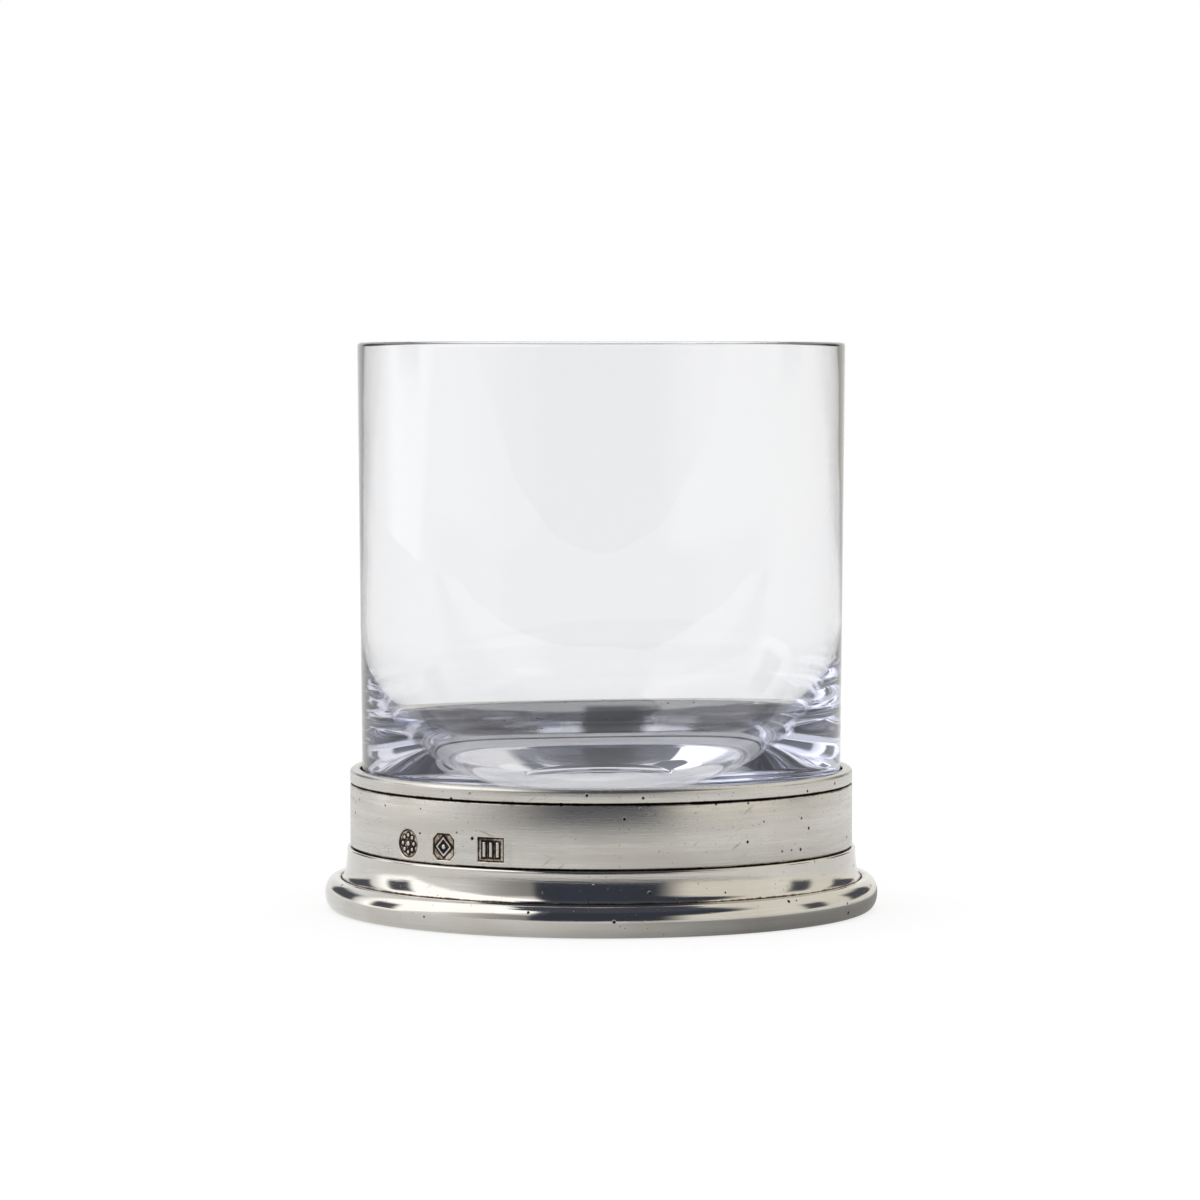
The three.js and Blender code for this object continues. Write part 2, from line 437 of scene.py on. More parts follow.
def make_pewter(name, clean, warm, gloss, shine, line_share, pit_share, scuff_share, relief):
    """Satin pewter; gloss is its range of roughness, shine its anisotropy, relief its bump."""
    material, tree, shader = start_material(name)
    place = place_on_piece(tree)
    cloud = noise_value(tree, place, CLOUDS_PER_METRE, detail=5.0, Distortion=0.6)
    fine = place_group(tree, lathe_lines, {"Lines per Metre": 5200.0, "Turns": 5.0})["Lines"]
    coarse = place_group(tree, lathe_lines, {"Lines per Metre": 900.0, "Turns": 2.0})["Lines"]
    pits = place_group(tree, casting_pits, {
        "Cells per Metre": 430.0, "Share": pit_share, "Pit Size": 0.17})["Pits"]
    specks = place_group(tree, casting_pits, {
        "Cells per Metre": 1500.0, "Share": pit_share * SPECK_SHARE, "Pit Size": 0.16})["Pits"]
    crossed = [place_group(tree, scuffs, {"Slant": slant})["Scuffs"] for slant in SCUFF_SLANTS]
    scratches = times(tree, calc(tree, "MAXIMUM", *crossed), scuff_share)
    hollow = add_node(tree, "ShaderNodeAttribute", attribute_name="hollow").outputs["Fac"]
    inside = add_node(tree, "ShaderNodeAttribute", attribute_name="inside").outputs["Fac"]
    masks = place_group(tree, tarnish, {"Hollow": hollow, "Grain per Metre": 1500.0})
    upright = add_node(tree, "ShaderNodeVectorMath", operation="MULTIPLY")
    feed(tree, upright.inputs[0], place)
    upright.inputs[1].default_value = RUBS_PER_METRE
    rubs = noise_value(tree, upright.outputs["Vector"], 1.0, detail=2.0)

    colour = blend_colour(tree, ease(tree, cloud, *CLOUD_CUT), clean, warm)
    lined = times(tree, calc(tree, "ADD", fine, coarse), 0.5)
    shaded = tuple(channel * (1.0 - line_share) for channel in clean[:3]) + (1.0,)
    colour = blend_colour(tree, spread(tree, lined, 0.0, LINE_TINT), colour, shaded)
    height = axes_of(tree, place)["Z"]
    bore_reflection = place_group(tree, painted_bore_reflections, {"Waver": 3.0})
    # Painted shade: the bore darkens towards its bottom, deep in the collar.
    bore = blend_colour(tree, ease(tree, height, *BORE_SHADE), BORE_GREY, BORE_SHADED_GREY)
    bore = blend_colour(tree, times(tree, fine, BORE_LINE_TINT), bore, shaded)
    # The bore's colour carries a painted reflection: the dark run, then the painted highlights.
    bore = blend_colour(tree, bore_reflection["Dark"], bore, BORE_DARK_REFLECTION)
    bore = blend_colour(tree, bore_reflection["Highlight"], bore, BORE_HIGHLIGHT)
    colour = blend_colour(tree, inside, colour, bore)
    colour = blend_colour(tree, masks["Fringe"], colour, PEWTER_FRINGE)
    colour = blend_colour(tree, times(tree, scratches, SCUFF_TINT), colour, PEWTER_FRINGE)
    dark = calc(tree, "MAXIMUM", masks["Dark"], calc(tree, "MAXIMUM", pits, specks))
    feed(tree, shader["Base Color"], blend_colour(tree, dark, colour, PEWTER_DARK))

    worn = times(tree, calc(tree, "ADD", lined, cloud), 0.5)
    rough = spread(tree, worn, *gloss)
    bored = calc(tree, "MULTIPLY_ADD", ease(tree, rubs, *RUB_CUT), RUB_ROUGHNESS, BORE_ROUGHNESS)
    mixed = add_node(tree, "ShaderNodeMix", {"Factor": inside})
    feed(tree, mixed.inputs["A"], rough)
    feed(tree, mixed.inputs["B"], bored)
    marked = times(tree, calc(tree, "MAXIMUM", dark, scratches), MARK_ROUGHNESS)
    feed(tree, shader["Roughness"], calc(tree, "ADD", mixed.outputs["Result"], marked))
    shader["Metallic"].default_value = 1.0
    shader["Anisotropic"].default_value = shine

    raised = times(tree, lined, LINE_RELIEF)
    sunk = calc(tree, "MULTIPLY_ADD", scratches, SCUFF_RELIEF, calc(tree, "ADD", pits, specks))
    bump = add_node(tree, "ShaderNodeBump", {
        "Strength": relief, "Distance": RELIEF_DEPTH, "Height": calc(tree, "SUBTRACT", raised, sunk)})
    feed(tree, shader["Normal"], bump.outputs["Normal"])
    tangent = add_node(tree, "ShaderNodeTangent", direction_type="RADIAL", axis="Z")
    feed(tree, shader["Tangent"], tangent.outputs["Tangent"])
    return material


band_pewter = make_pewter(
    "band_pewter", clean=(0.66, 0.64, 0.60, 1.0), warm=(0.61, 0.58, 0.525, 1.0),
    gloss=(0.20, 0.36), shine=0.35, line_share=0.30, pit_share=0.7, scuff_share=1.0, relief=0.35)
foot_pewter = make_pewter(
    "foot_pewter", clean=(0.66, 0.64, 0.60, 1.0), warm=(0.60, 0.57, 0.515, 1.0),
    gloss=(0.05, 0.13), shine=0.2, line_share=0.25, pit_share=0.8, scuff_share=0.25, relief=0.25)
seat_pewter = make_pewter(
    "seat_pewter", clean=(0.62, 0.61, 0.59, 1.0), warm=(0.56, 0.54, 0.50, 1.0),
    gloss=(0.16, 0.30), shine=0.5, line_share=0.30, pit_share=0.2, scuff_share=0.3, relief=0.3)
print("pewter finishes:", band_pewter.name, foot_pewter.name, seat_pewter.name)

# %% [markdown]
# The glass is almost colourless. A thin wall shows no colour at all, but light that runs for
# several centimetres through the thick base comes out faintly violet, so the colour is a weak
# absorption inside the volume. Each face also takes a percent or two, as washed glass does, which
# sets the wall off from a white background. A trace of waviness in the normal keeps the refractions
# from looking machine-made.

# %% Glass finish
GLASS_IOR = 1.52
GLASS_FACE_COLOUR = (0.955, 0.957, 0.962, 1.0)
GLASS_DEPTH_COLOUR = (0.83, 0.85, 0.97, 1.0)
GLASS_DEPTH_DENSITY = 16.0
RIPPLES_PER_METRE = 55.0
RIPPLE_DEPTH = 0.6 * MM
RIPPLE_RELIEF = 0.10
SMEARS_PER_METRE = 160.0
SMEAR_CUT = (0.5, 0.9)
SMEAR_ROUGHNESS = (0.0, 0.03)


def make_glass():
    material, tree, shader = start_material("clear_glass")
    place = place_on_piece(tree)
    ripples = noise_value(tree, place, RIPPLES_PER_METRE, detail=1.0)
    smears = noise_value(tree, place, SMEARS_PER_METRE, detail=4.0)
    feed(tree, shader["Roughness"], spread(tree, ease(tree, smears, *SMEAR_CUT), *SMEAR_ROUGHNESS))
    shader["Base Color"].default_value = GLASS_FACE_COLOUR
    shader["IOR"].default_value = GLASS_IOR
    shader["Transmission Weight"].default_value = 1.0
    bump = add_node(tree, "ShaderNodeBump", {
        "Strength": RIPPLE_RELIEF, "Distance": RIPPLE_DEPTH, "Height": ripples})
    feed(tree, shader["Normal"], bump.outputs["Normal"])
    depth = add_node(tree, "ShaderNodeVolumeAbsorption", {
        "Color": GLASS_DEPTH_COLOUR, "Density": GLASS_DEPTH_DENSITY})
    output = tree.nodes["Material Output"]
    feed(tree, output.inputs["Volume"], depth.outputs["Volume"])
    return material


clear_glass = make_glass()
print("glass finish:", clear_glass.name)

# %% [markdown]
# The adhesive under the glass is pale and rubbery, and the maker could not keep it quite free of
# bubbles. It is rougher than the glass, and each bubble shows as a small soft dot. The crevices
# between the beads are painted dark as painted shade, and a weak glow stands for the light that
# the glass gathers there.

# %% Adhesive finish
BOND_COLOUR = (0.95, 0.95, 0.955, 1.0)
BOND_BUBBLE = (0.80, 0.80, 0.82, 1.0)
BOND_CREVICE_SHADE = (0.05, 0.05, 0.055, 1.0)
BOND_GLOW = 0.22
BOND_ROUGHNESS = (0.25, 0.6)
BOND_IOR = 1.45
CREVICE_SHADE_CUT = (0.1, 0.6)
BUBBLE_DEPTH = 0.1 * MM
BUBBLE_RELIEF = 0.3


def make_bond():
    material, tree, shader = start_material("pale_bond")
    bubbles = place_group(tree, casting_pits, {
        "Cells per Metre": 420.0, "Share": 0.3, "Pit Size": 0.28})["Pits"]
    feed(tree, shader["Roughness"], spread(tree, bubbles, *BOND_ROUGHNESS))
    hollow = add_node(tree, "ShaderNodeAttribute", attribute_name="hollow").outputs["Fac"]
    colour = blend_colour(tree, bubbles, BOND_COLOUR, BOND_BUBBLE)
    # Painted shade: the crevices between the beads are darkened.
    colour = blend_colour(tree, ease(tree, hollow, *CREVICE_SHADE_CUT), colour, BOND_CREVICE_SHADE)
    feed(tree, shader["Base Color"], colour)
    feed(tree, shader["Emission Color"], colour)
    shader["Emission Strength"].default_value = BOND_GLOW
    shader["IOR"].default_value = BOND_IOR
    bump = add_node(tree, "ShaderNodeBump", {
        "Strength": BUBBLE_RELIEF, "Distance": BUBBLE_DEPTH, "Height": bubbles})
    feed(tree, shader["Normal"], bump.outputs["Normal"])
    return material


pale_bond = make_bond()
print("adhesive finish:", pale_bond.name)

# %% [markdown]
# Every piece here is turned, so each starts as a few points of half a cross-section, drawn in the
# XZ plane, and a full spin about Z makes the solid. use_merge joins the last step to the first.
# Points on the axis land on each other, so doubles are merged and then the normals recalculated.

# %% Turning helpers
TURN_STEPS = 288
MERGE_DISTANCE = 1e-7
CORNER_TOLERANCE = 5e-6
SHARP_ANGLE = math.radians(38)
EDGE_SEGMENTS = 2


def arc(centre, half_width, half_height, from_angle, to_angle, steps):
    """Points along part of an ellipse in the section; degrees from the outward direction."""
    points = []
    for step in range(steps + 1):
        angle = math.radians(from_angle + (to_angle - from_angle) * step / steps)
        points.append((centre[0] + half_width * math.cos(angle), centre[1] + half_height * math.sin(angle)))
    return points


def turn(section):
    """Spin a section about Z into a closed mesh; a ring's section closes on its first point."""
    bm = bmesh.new()
    points = [bm.verts.new((radius, 0.0, height)) for radius, height in section]
    lines = [bm.edges.new(pair) for pair in zip(points, points[1:])]
    if section[0][0] > MERGE_DISTANCE:
        lines.append(bm.edges.new((points[-1], points[0])))
    bmesh.ops.spin(
        bm, geom=points + lines, cent=(0.0, 0.0, 0.0), axis=(0.0, 0.0, 1.0),
        angle=math.tau, steps=TURN_STEPS, use_merge=True)
    bmesh.ops.remove_doubles(bm, verts=bm.verts, dist=MERGE_DISTANCE)
    bmesh.ops.recalc_face_normals(bm, faces=bm.faces)
    return bm


def soften_rings(bm, corners, radius):
    """Bevel the circular edges that run through the given corners of the section."""
    def on_corner(vert):
        here = Vector((vert.co.xy.length, vert.co.z))
        return any((here - Vector(corner)).length < CORNER_TOLERANCE for corner in corners)

    rings = [edge for edge in bm.edges if on_corner(edge.verts[0]) and on_corner(edge.verts[1])]
    rings = [edge for edge in rings if abs(edge.verts[0].co.z - edge.verts[1].co.z) < CORNER_TOLERANCE]
    bmesh.ops.bevel(
        bm, geom=rings, offset=radius, offset_type="OFFSET", segments=EDGE_SEGMENTS,
        profile=0.5, affect="EDGES", material=-1, clamp_overlap=True)


def mark_hollows(bm, grooves):
    """Store how deep in a groove each vertex lies; grooves are (radius, height, reach)."""
    layer = bm.verts.layers.float.new("hollow")
    for vert in bm.verts:
        here = Vector((vert.co.xy.length, vert.co.z))
        for radius, height, reach in grooves:
            depth = 1.0 - (here - Vector((radius, height))).length / reach
            vert[layer] = max(vert[layer], min(1.0, depth))
    return layer


def make_piece(bm, node, material):
    """Turn a bmesh into a piece that stands for a CAD node and rides on the one body."""
    for face in bm.faces:
        face.smooth = True
    for edge in bm.edges:
        edge.smooth = edge.calc_face_angle(0.0) < SHARP_ANGLE
    mesh = bpy.data.meshes.new(node + "_dressed")
    bm.to_mesh(mesh)
    bm.free()
    mesh.materials.append(material)
    piece = bpy.data.objects.new(node + "_dressed", mesh)
    bpy.context.scene.collection.objects.link(piece)
    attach(piece, "root")
    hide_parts(node)
    print(f"{piece.name}: {len(mesh.vertices)} vertices, {len(mesh.polygons)} faces")


# %% [markdown]
# The tumbler's section runs from the axis under the base, out over the shallow dome that glass
# makers call the kick, round the lower corner, up the slightly tapered outside, over the rim and
# down the inside. The inside ends in a squared ellipse, which is what bends the view of the mount.
# A blown wall is never quite even, so the inside gets a gentle wave of a few hundredths of a
# millimetre, and the bowl's bottom sits a little to the left of the axis, as it does in the photograph.

# %% Glass tumbler
GLASS_TAPER = 0.8 * MM
RIM_WALL = 1.2 * MM
LOWER_WALL = 1.15 * MM
BASE_THICKNESS = 5.4 * MM
BOWL_DEPTH = 37.5 * MM
BOWL_SQUARENESS = 2.4
GLASS_CORNER = 6.0 * MM
KICK_RADIUS = 15.0 * MM
KICK_HEIGHT = 1.5 * MM
WAVE_DEPTH = 0.05 * MM
WAVES_PER_METRE = 38.0
BOWL_OFFSET = 0.8 * MM
KICK_STEPS = 20
CORNER_STEPS = 24
RIM_STEPS = 14
BOWL_STEPS = 72


def glass_radius(height):
    """Outside of the glass, which tapers a little from the rim down to its seat."""
    return RIM_RADIUS - GLASS_TAPER * (RIM_TOP - height) / (RIM_TOP - GLASS_SEAT)


GLASS_FLOOR = GLASS_SEAT + BASE_THICKNESS
BOWL_TOP = GLASS_FLOOR + BOWL_DEPTH
HEEL_RADIUS = glass_radius(GLASS_SEAT + GLASS_CORNER) - GLASS_CORNER


def kick_section():
    sphere = (KICK_RADIUS ** 2 + KICK_HEIGHT ** 2) / (2 * KICK_HEIGHT)
    edge_angle = math.degrees(math.acos(KICK_RADIUS / sphere))
    dome = arc((0.0, GLASS_SEAT + KICK_HEIGHT - sphere), sphere, sphere, 90, edge_angle, KICK_STEPS)
    return [(0.0, GLASS_SEAT + KICK_HEIGHT)] + dome[1:]


def bowl_section():
    radius = glass_radius(BOWL_TOP) - LOWER_WALL
    power = 2 / BOWL_SQUARENESS
    points = []
    for step in range(BOWL_STEPS):
        angle = (math.pi / 2) * step / BOWL_STEPS
        points.append((radius * math.cos(angle) ** power, BOWL_TOP - BOWL_DEPTH * math.sin(angle) ** power))
    return points + [(0.0, GLASS_FLOOR)]


def glass_section():
    corner_centre = (HEEL_RADIUS, GLASS_SEAT + GLASS_CORNER)
    rim_round = RIM_WALL / 2
    rim_centre = (RIM_RADIUS - rim_round, RIM_TOP - rim_round)
    return (
        kick_section()
        + arc(corner_centre, GLASS_CORNER, GLASS_CORNER, -90, 0, CORNER_STEPS)
        + arc(rim_centre, rim_round, rim_round, 0, 180, RIM_STEPS)
        + bowl_section())


glass_bm = turn(glass_section())
for vert in glass_bm.verts:
    radius = vert.co.xy.length
    if GLASS_FLOOR - WAVE_DEPTH < vert.co.z < BOWL_TOP and radius < glass_radius(vert.co.z) - LOWER_WALL / 2:
        wave = noise.noise(vert.co * WAVES_PER_METRE)
        vert.co -= Vector((vert.co.x, vert.co.y, 0.0)) / max(radius, MM) * (WAVE_DEPTH * wave)
        drop = min(1.0, (BOWL_TOP - vert.co.z) / BOWL_DEPTH)
        vert.co.x -= BOWL_OFFSET * drop * drop * (3.0 - 2.0 * drop)
make_piece(glass_bm, "glass_tumbler", clear_glass)

# %% [markdown]
# The collar band is a short tube with a rounded lip. One V groove is turned under the lip, and the
# lower edge is chamfered so that it makes a second groove with the foot. The inside face is real
# too, because the base of the glass shows it from above.

# %% Collar band
GLASS_CLEARANCE = 0.3 * MM
LIP_HEIGHT = 2.4 * MM
LIP_OUTER_ROUND = 0.7 * MM
LIP_INNER_ROUND = 0.35 * MM
GROOVE_WIDTH = 0.5 * MM
GROOVE_DEPTH = 0.35 * MM
GROOVE_REACH = 0.52 * MM
TONGUE_WALL = 0.6 * MM
EDGE_SOFTNESS = 0.06 * MM
LIP_OUTER_STEPS = 10
LIP_INNER_STEPS = 8
COLLAR_BORE = max(glass_radius(LIP_TOP), glass_radius(TONGUE_FOOT)) + GLASS_CLEARANCE
BAND_TOP = LIP_TOP - LIP_HEIGHT


def collar_section():
    tongue_radius = COLLAR_BORE + TONGUE_WALL
    lip_outer = (COLLAR_RADIUS - LIP_OUTER_ROUND, LIP_TOP - LIP_OUTER_ROUND)
    lip_inner = (COLLAR_BORE + LIP_INNER_ROUND, LIP_TOP - LIP_INNER_ROUND)
    return [
        (COLLAR_BORE, TONGUE_FOOT),
        (tongue_radius, TONGUE_FOOT),
        (tongue_radius, COVE_TOP),
        (COLLAR_RADIUS - GROOVE_DEPTH, COVE_TOP),
        (COLLAR_RADIUS, COVE_TOP + GROOVE_DEPTH),
        (COLLAR_RADIUS, BAND_TOP - GROOVE_WIDTH / 2),
        (COLLAR_RADIUS - GROOVE_DEPTH, BAND_TOP),
        (COLLAR_RADIUS, BAND_TOP + GROOVE_WIDTH / 2),
    ] + arc(lip_outer, LIP_OUTER_ROUND, LIP_OUTER_ROUND, 0, 90, LIP_OUTER_STEPS) + arc(
        lip_inner, LIP_INNER_ROUND, LIP_INNER_ROUND, 90, 180, LIP_INNER_STEPS)


collar_bm = turn(collar_section())
soften_rings(collar_bm, [
    (COLLAR_RADIUS, COVE_TOP + GROOVE_DEPTH),
    (COLLAR_RADIUS, BAND_TOP - GROOVE_WIDTH / 2),
    (COLLAR_RADIUS, BAND_TOP + GROOVE_WIDTH / 2),
], EDGE_SOFTNESS)
collar_hollow = mark_hollows(collar_bm, [
    (COLLAR_RADIUS - GROOVE_DEPTH, BAND_TOP, GROOVE_REACH),
    (COLLAR_RADIUS - GROOVE_DEPTH, COVE_TOP, GROOVE_REACH),
])
collar_inside = collar_bm.verts.layers.float.new("inside")
for vert in collar_bm.verts:
    vert[collar_inside] = float(vert.co.xy.length < COLLAR_BORE + EDGE_SOFTNESS)

# %% [markdown]
# A maker strikes small punches into the band before it is joined to the foot. These three are plain
# ornament: a ring of dots, a lozenge, and upright bars. The face under them is first cut into a grid
# of less than a tenth of a millimetre, and then each point is pushed in by the punch's depth there.
# Every punch is a field with a border, and a figure that stays proud of it, both given as distances
# to their edges in millimetres, so the walls of the dent can slope over the same short width.

# %% Punch figures
PUNCH_SIZE = 2.3
SQUARE_SIDE = PUNCH_SIZE * 0.93
SQUARE_CORNER = PUNCH_SIZE * 1.45
OBLONG_HEIGHT = PUNCH_SIZE * 0.85
PUNCH_WALL = 0.12
PUNCH_GRIME_REACH = 0.40
PUNCH_GRIME_LEAST = 0.25
DOT_COUNT = 8
DOT_RING = 1.3
DOT_RADIUS = 0.34
MIDDLE_DOT_RADIUS = 0.45
LOZENGE_REACH = 1.35
LOZENGE_LINE = 0.20
LOZENGE_SLOPE = 0.7
LOZENGE_DOT_RADIUS = 0.42
BAR_PLACES = (-1.15, 0.0, 1.15)
BAR_HALF_WIDTH = 0.30
BAR_HALF_HEIGHT = 1.2


def dots(across, up):
    """A ring of dots and one in the middle."""
    best = MIDDLE_DOT_RADIUS - math.hypot(across, up)
    for index in range(DOT_COUNT):
        angle = math.tau * index / DOT_COUNT
        away = math.hypot(across - DOT_RING * math.cos(angle), up - DOT_RING * math.sin(angle))
        best = max(best, DOT_RADIUS - away)
    return best


def lozenge(across, up):
    """A lozenge drawn as a line, with a dot in it."""
    line = LOZENGE_LINE - abs(abs(across) + abs(up) - LOZENGE_REACH) * LOZENGE_SLOPE
    return max(line, LOZENGE_DOT_RADIUS - math.hypot(across, up))


def bars(across, up):
    """Three upright bars."""
    return max(min(BAR_HALF_WIDTH - abs(across - place), BAR_HALF_HEIGHT - abs(up)) for place in BAR_PLACES)


def round_field(across, up):
    return PUNCH_SIZE - math.hypot(across, up)


def cut_square_field(across, up):
    side = max(abs(across), abs(up))
    return min(SQUARE_SIDE - side, SQUARE_CORNER - abs(across) - abs(up))


def oblong_field(across, up):
    return min(PUNCH_SIZE - abs(across), OBLONG_HEIGHT - abs(up))


# %% [markdown]
# The punches go round the left of the band, as far apart as in the photograph. An azimuth is
# measured from the camera's side towards +X. The same distances also fill the attribute for grime,
# which settles along the walls of a dent.

# %% Punch marks on the band
PUNCHES = [
    (math.radians(-48.3), round_field, dots),
    (math.radians(-37.3), cut_square_field, lozenge),
    (math.radians(-25.0), oblong_field, bars),
]
PUNCH_HEIGHT = 12.9 * MM
PUNCH_DEPTH = 0.17 * MM
PATCH_HALF_HEIGHT = 2.5 * MM
PATCH_LOW = PUNCH_HEIGHT - PATCH_HALF_HEIGHT
PATCH_HIGH = PUNCH_HEIGHT + PATCH_HALF_HEIGHT
PATCH_FROM = math.radians(-53.5)
PATCH_TO = math.radians(-20.5)
PATCH_CUTS_UP = 54
PATCH_CUTS_ROUND = 9


def azimuth_of(place):
    return math.atan2(place.x, -place.y)


def on_outside(face):
    """Whether a face lies on the band's outside."""
    return face.calc_center_median().xy.length > COLLAR_RADIUS - EDGE_SOFTNESS


def patch_faces(bm):
    """Faces of the band's outside that lie between the patch's heights and azimuths."""
    found = []
    for face in bm.faces:
        middle = face.calc_center_median()
        level = PATCH_LOW < middle.z < PATCH_HIGH
        if level and on_outside(face) and PATCH_FROM < azimuth_of(middle) < PATCH_TO:
            found.append(face)
    return found


def cut_patch(bm):
    """Cut two rings into the band, then a fine grid between them."""
    for height in (PATCH_LOW, PATCH_HIGH):
        strip = [face for face in bm.faces if on_outside(face)]
        edges = {edge for face in strip for edge in face.edges}
        verts = {vert for face in strip for vert in face.verts}
        bmesh.ops.bisect_plane(
            bm, geom=list(verts) + list(edges) + strip, dist=MERGE_DISTANCE,
            plane_co=(0.0, 0.0, height), plane_no=(0.0, 0.0, 1.0))
    upright = {edge for face in patch_faces(bm) for edge in face.edges
               if abs(edge.verts[0].co.z - edge.verts[1].co.z) > MM}
    bmesh.ops.subdivide_edges(bm, edges=list(upright), cuts=PATCH_CUTS_UP, use_grid_fill=True)
    level = {edge for face in patch_faces(bm) for edge in face.edges
             if abs(edge.verts[0].co.z - edge.verts[1].co.z) < MERGE_DISTANCE}
    bmesh.ops.subdivide_edges(bm, edges=list(level), cuts=PATCH_CUTS_ROUND, use_grid_fill=True)


def strike(bm, hollow_layer):
    """Push the points of the patch in by each punch's depth, and note where grime settles."""
    for vert in {vert for face in patch_faces(bm) for vert in face.verts}:
        azimuth = azimuth_of(vert.co)
        up = (vert.co.z - PUNCH_HEIGHT) / MM
        depth = 0.0
        for place, field, figure in PUNCHES:
            across = (azimuth - place) * COLLAR_RADIUS / MM
            border = field(across, up)
            if border <= 0.0:
                continue
            proud = figure(across, up)
            depth = min(1.0, border / PUNCH_WALL) * (1.0 - max(0.0, min(1.0, proud / PUNCH_WALL)))
            wall = min(border, abs(proud))
            near = max(0.0, 1.0 - wall / PUNCH_GRIME_REACH)
            grime = depth * (PUNCH_GRIME_LEAST + (1.0 - PUNCH_GRIME_LEAST) * near)
            vert[hollow_layer] = max(vert[hollow_layer], grime)
        radius = COLLAR_RADIUS - PUNCH_DEPTH * depth
        vert.co.x = radius * math.sin(azimuth)
        vert.co.y = -radius * math.cos(azimuth)


cut_patch(collar_bm)
strike(collar_bm, collar_hollow)
make_piece(collar_bm, "collar_band", band_pewter)

# %% [markdown]
# The foot ring carries the band. A hollow cove runs down from its top edge and flares out at the
# foot, a groove divides it from a narrow ledge, and a round bead closes the profile at the table.
# Grime sits in the groove, and in the corner where the foot's top edge meets the band.

# %% Foot ring
BEAD_HEIGHT = 5.1 * MM
BEAD_BULGE = 1.55 * MM
LEDGE_WIDTH = 1.1 * MM
COVE_FLARE = 0.9 * MM
FOOT_EDGE_ROUND = 0.35 * MM
SEAT_LAP = 2.0 * MM
SOLDER_CLEARANCE = 0.3 * MM
BEAD_STEPS = 36
COVE_STEPS = 28
FOOT_EDGE_STEPS = 8
BEAD_RADIUS = FOOT_RADIUS - BEAD_BULGE
COVE_FOOT_RADIUS = BEAD_RADIUS - LEDGE_WIDTH
FOOT_TOP_RADIUS = COVE_FOOT_RADIUS - COVE_FLARE
FOOT_BORE = COLLAR_BORE + TONGUE_WALL + SOLDER_CLEARANCE
SEAT_BOTTOM = seat_low.z
SEAT_TOP = seat_high.z
SEAT_OUTER = seat_high.x
LEDGE_RADIUS = SEAT_OUTER - SEAT_LAP


def foot_section():
    bead_centre = (BEAD_RADIUS, BEAD_HEIGHT / 2)
    cove_centre = (COVE_FOOT_RADIUS, COVE_TOP - FOOT_EDGE_ROUND)
    edge_centre = (FOOT_TOP_RADIUS - FOOT_EDGE_ROUND, COVE_TOP - FOOT_EDGE_ROUND)
    return (
        [(LEDGE_RADIUS, 0.0)]
        + arc(bead_centre, BEAD_BULGE, BEAD_HEIGHT / 2, -90, 90, BEAD_STEPS)
        + [(COVE_FOOT_RADIUS + GROOVE_WIDTH / 2, BEAD_HEIGHT), (COVE_FOOT_RADIUS, BEAD_HEIGHT - GROOVE_DEPTH)]
        + arc(cove_centre, COVE_FLARE, cove_centre[1] - BEAD_HEIGHT, 270, 180, COVE_STEPS)
        + arc(edge_centre, FOOT_EDGE_ROUND, FOOT_EDGE_ROUND, 0, 90, FOOT_EDGE_STEPS)[1:]
        + [(FOOT_BORE, COVE_TOP), (FOOT_BORE, SEAT_BOTTOM), (LEDGE_RADIUS, SEAT_BOTTOM)])


foot_bm = turn(foot_section())
soften_rings(foot_bm, [
    (LEDGE_RADIUS, 0.0),
    (COVE_FOOT_RADIUS + GROOVE_WIDTH / 2, BEAD_HEIGHT),
], EDGE_SOFTNESS)
mark_hollows(foot_bm, [
    (COVE_FOOT_RADIUS, BEAD_HEIGHT - GROOVE_DEPTH / 2, GROOVE_REACH),
    (FOOT_TOP_RADIUS - GROOVE_DEPTH * 2, COVE_TOP, GROOVE_REACH),
])
make_piece(foot_bm, "foot_ring", foot_pewter)

# %% [markdown]
# A flat pewter ring soldered on the foot's inner ledge carries the glass on a ring of adhesive. Its
# middle is open, so the pale table shows through the base of the glass. The adhesive was laid in
# rounds, and the glass pressed them out into beads under its rounded heel, which show as thin pale
# rings. Each bead almost meets the glass at its crown and falls away at its edges. The adhesive stays
# a hair clear of its neighbours, because two faces in the same place confuse the renderer.

# %% Seat ring and adhesive
SEAT_HOLD = 2.2 * MM
SEAT_CHAMFER = 0.15 * MM
BOND_MARGIN = 0.3 * MM
FILM_INSET = 0.02 * MM
ADHESIVE_BEADS = [(-13, -26), (-31, -64), (-71, -88)]
ADHESIVE_DIP = 0.55 * MM
ADHESIVE_POINTS = 12
BEAD_SQUARENESS = 3
CREVICE_REACH = 0.6 * MM
SEAT_INNER = HEEL_RADIUS - SEAT_HOLD


def ring_section(inner, outer, low, high):
    return [(inner, low), (outer, low), (outer, high), (inner, high)]


def adhesive_point(degrees, dip):
    """A point round the heel, at the glass for a dip of 0 and at the bottom of a crevice for 1."""
    angle = math.radians(degrees)
    reach = GLASS_CORNER + FILM_INSET + ADHESIVE_DIP * dip
    height = GLASS_SEAT + GLASS_CORNER + reach * math.sin(angle)
    return HEEL_RADIUS + reach * math.cos(angle), max(SEAT_TOP + FILM_INSET * 2, height)


def adhesive_section():
    low = SEAT_TOP + FILM_INSET
    high = GLASS_SEAT - FILM_INSET
    wall = SEAT_OUTER - FILM_INSET
    beads = []
    for top, foot in ADHESIVE_BEADS:
        for step in range(ADHESIVE_POINTS + 1):
            share = step / ADHESIVE_POINTS
            beads.append(adhesive_point(top + (foot - top) * share, abs(2 * share - 1) ** BEAD_SQUARENESS))
    film = [(HEEL_RADIUS - BOND_MARGIN, high), (SEAT_INNER + BOND_MARGIN, high)]
    return [(SEAT_INNER + BOND_MARGIN, low), (wall, low), (wall, beads[0][1])] + beads + film


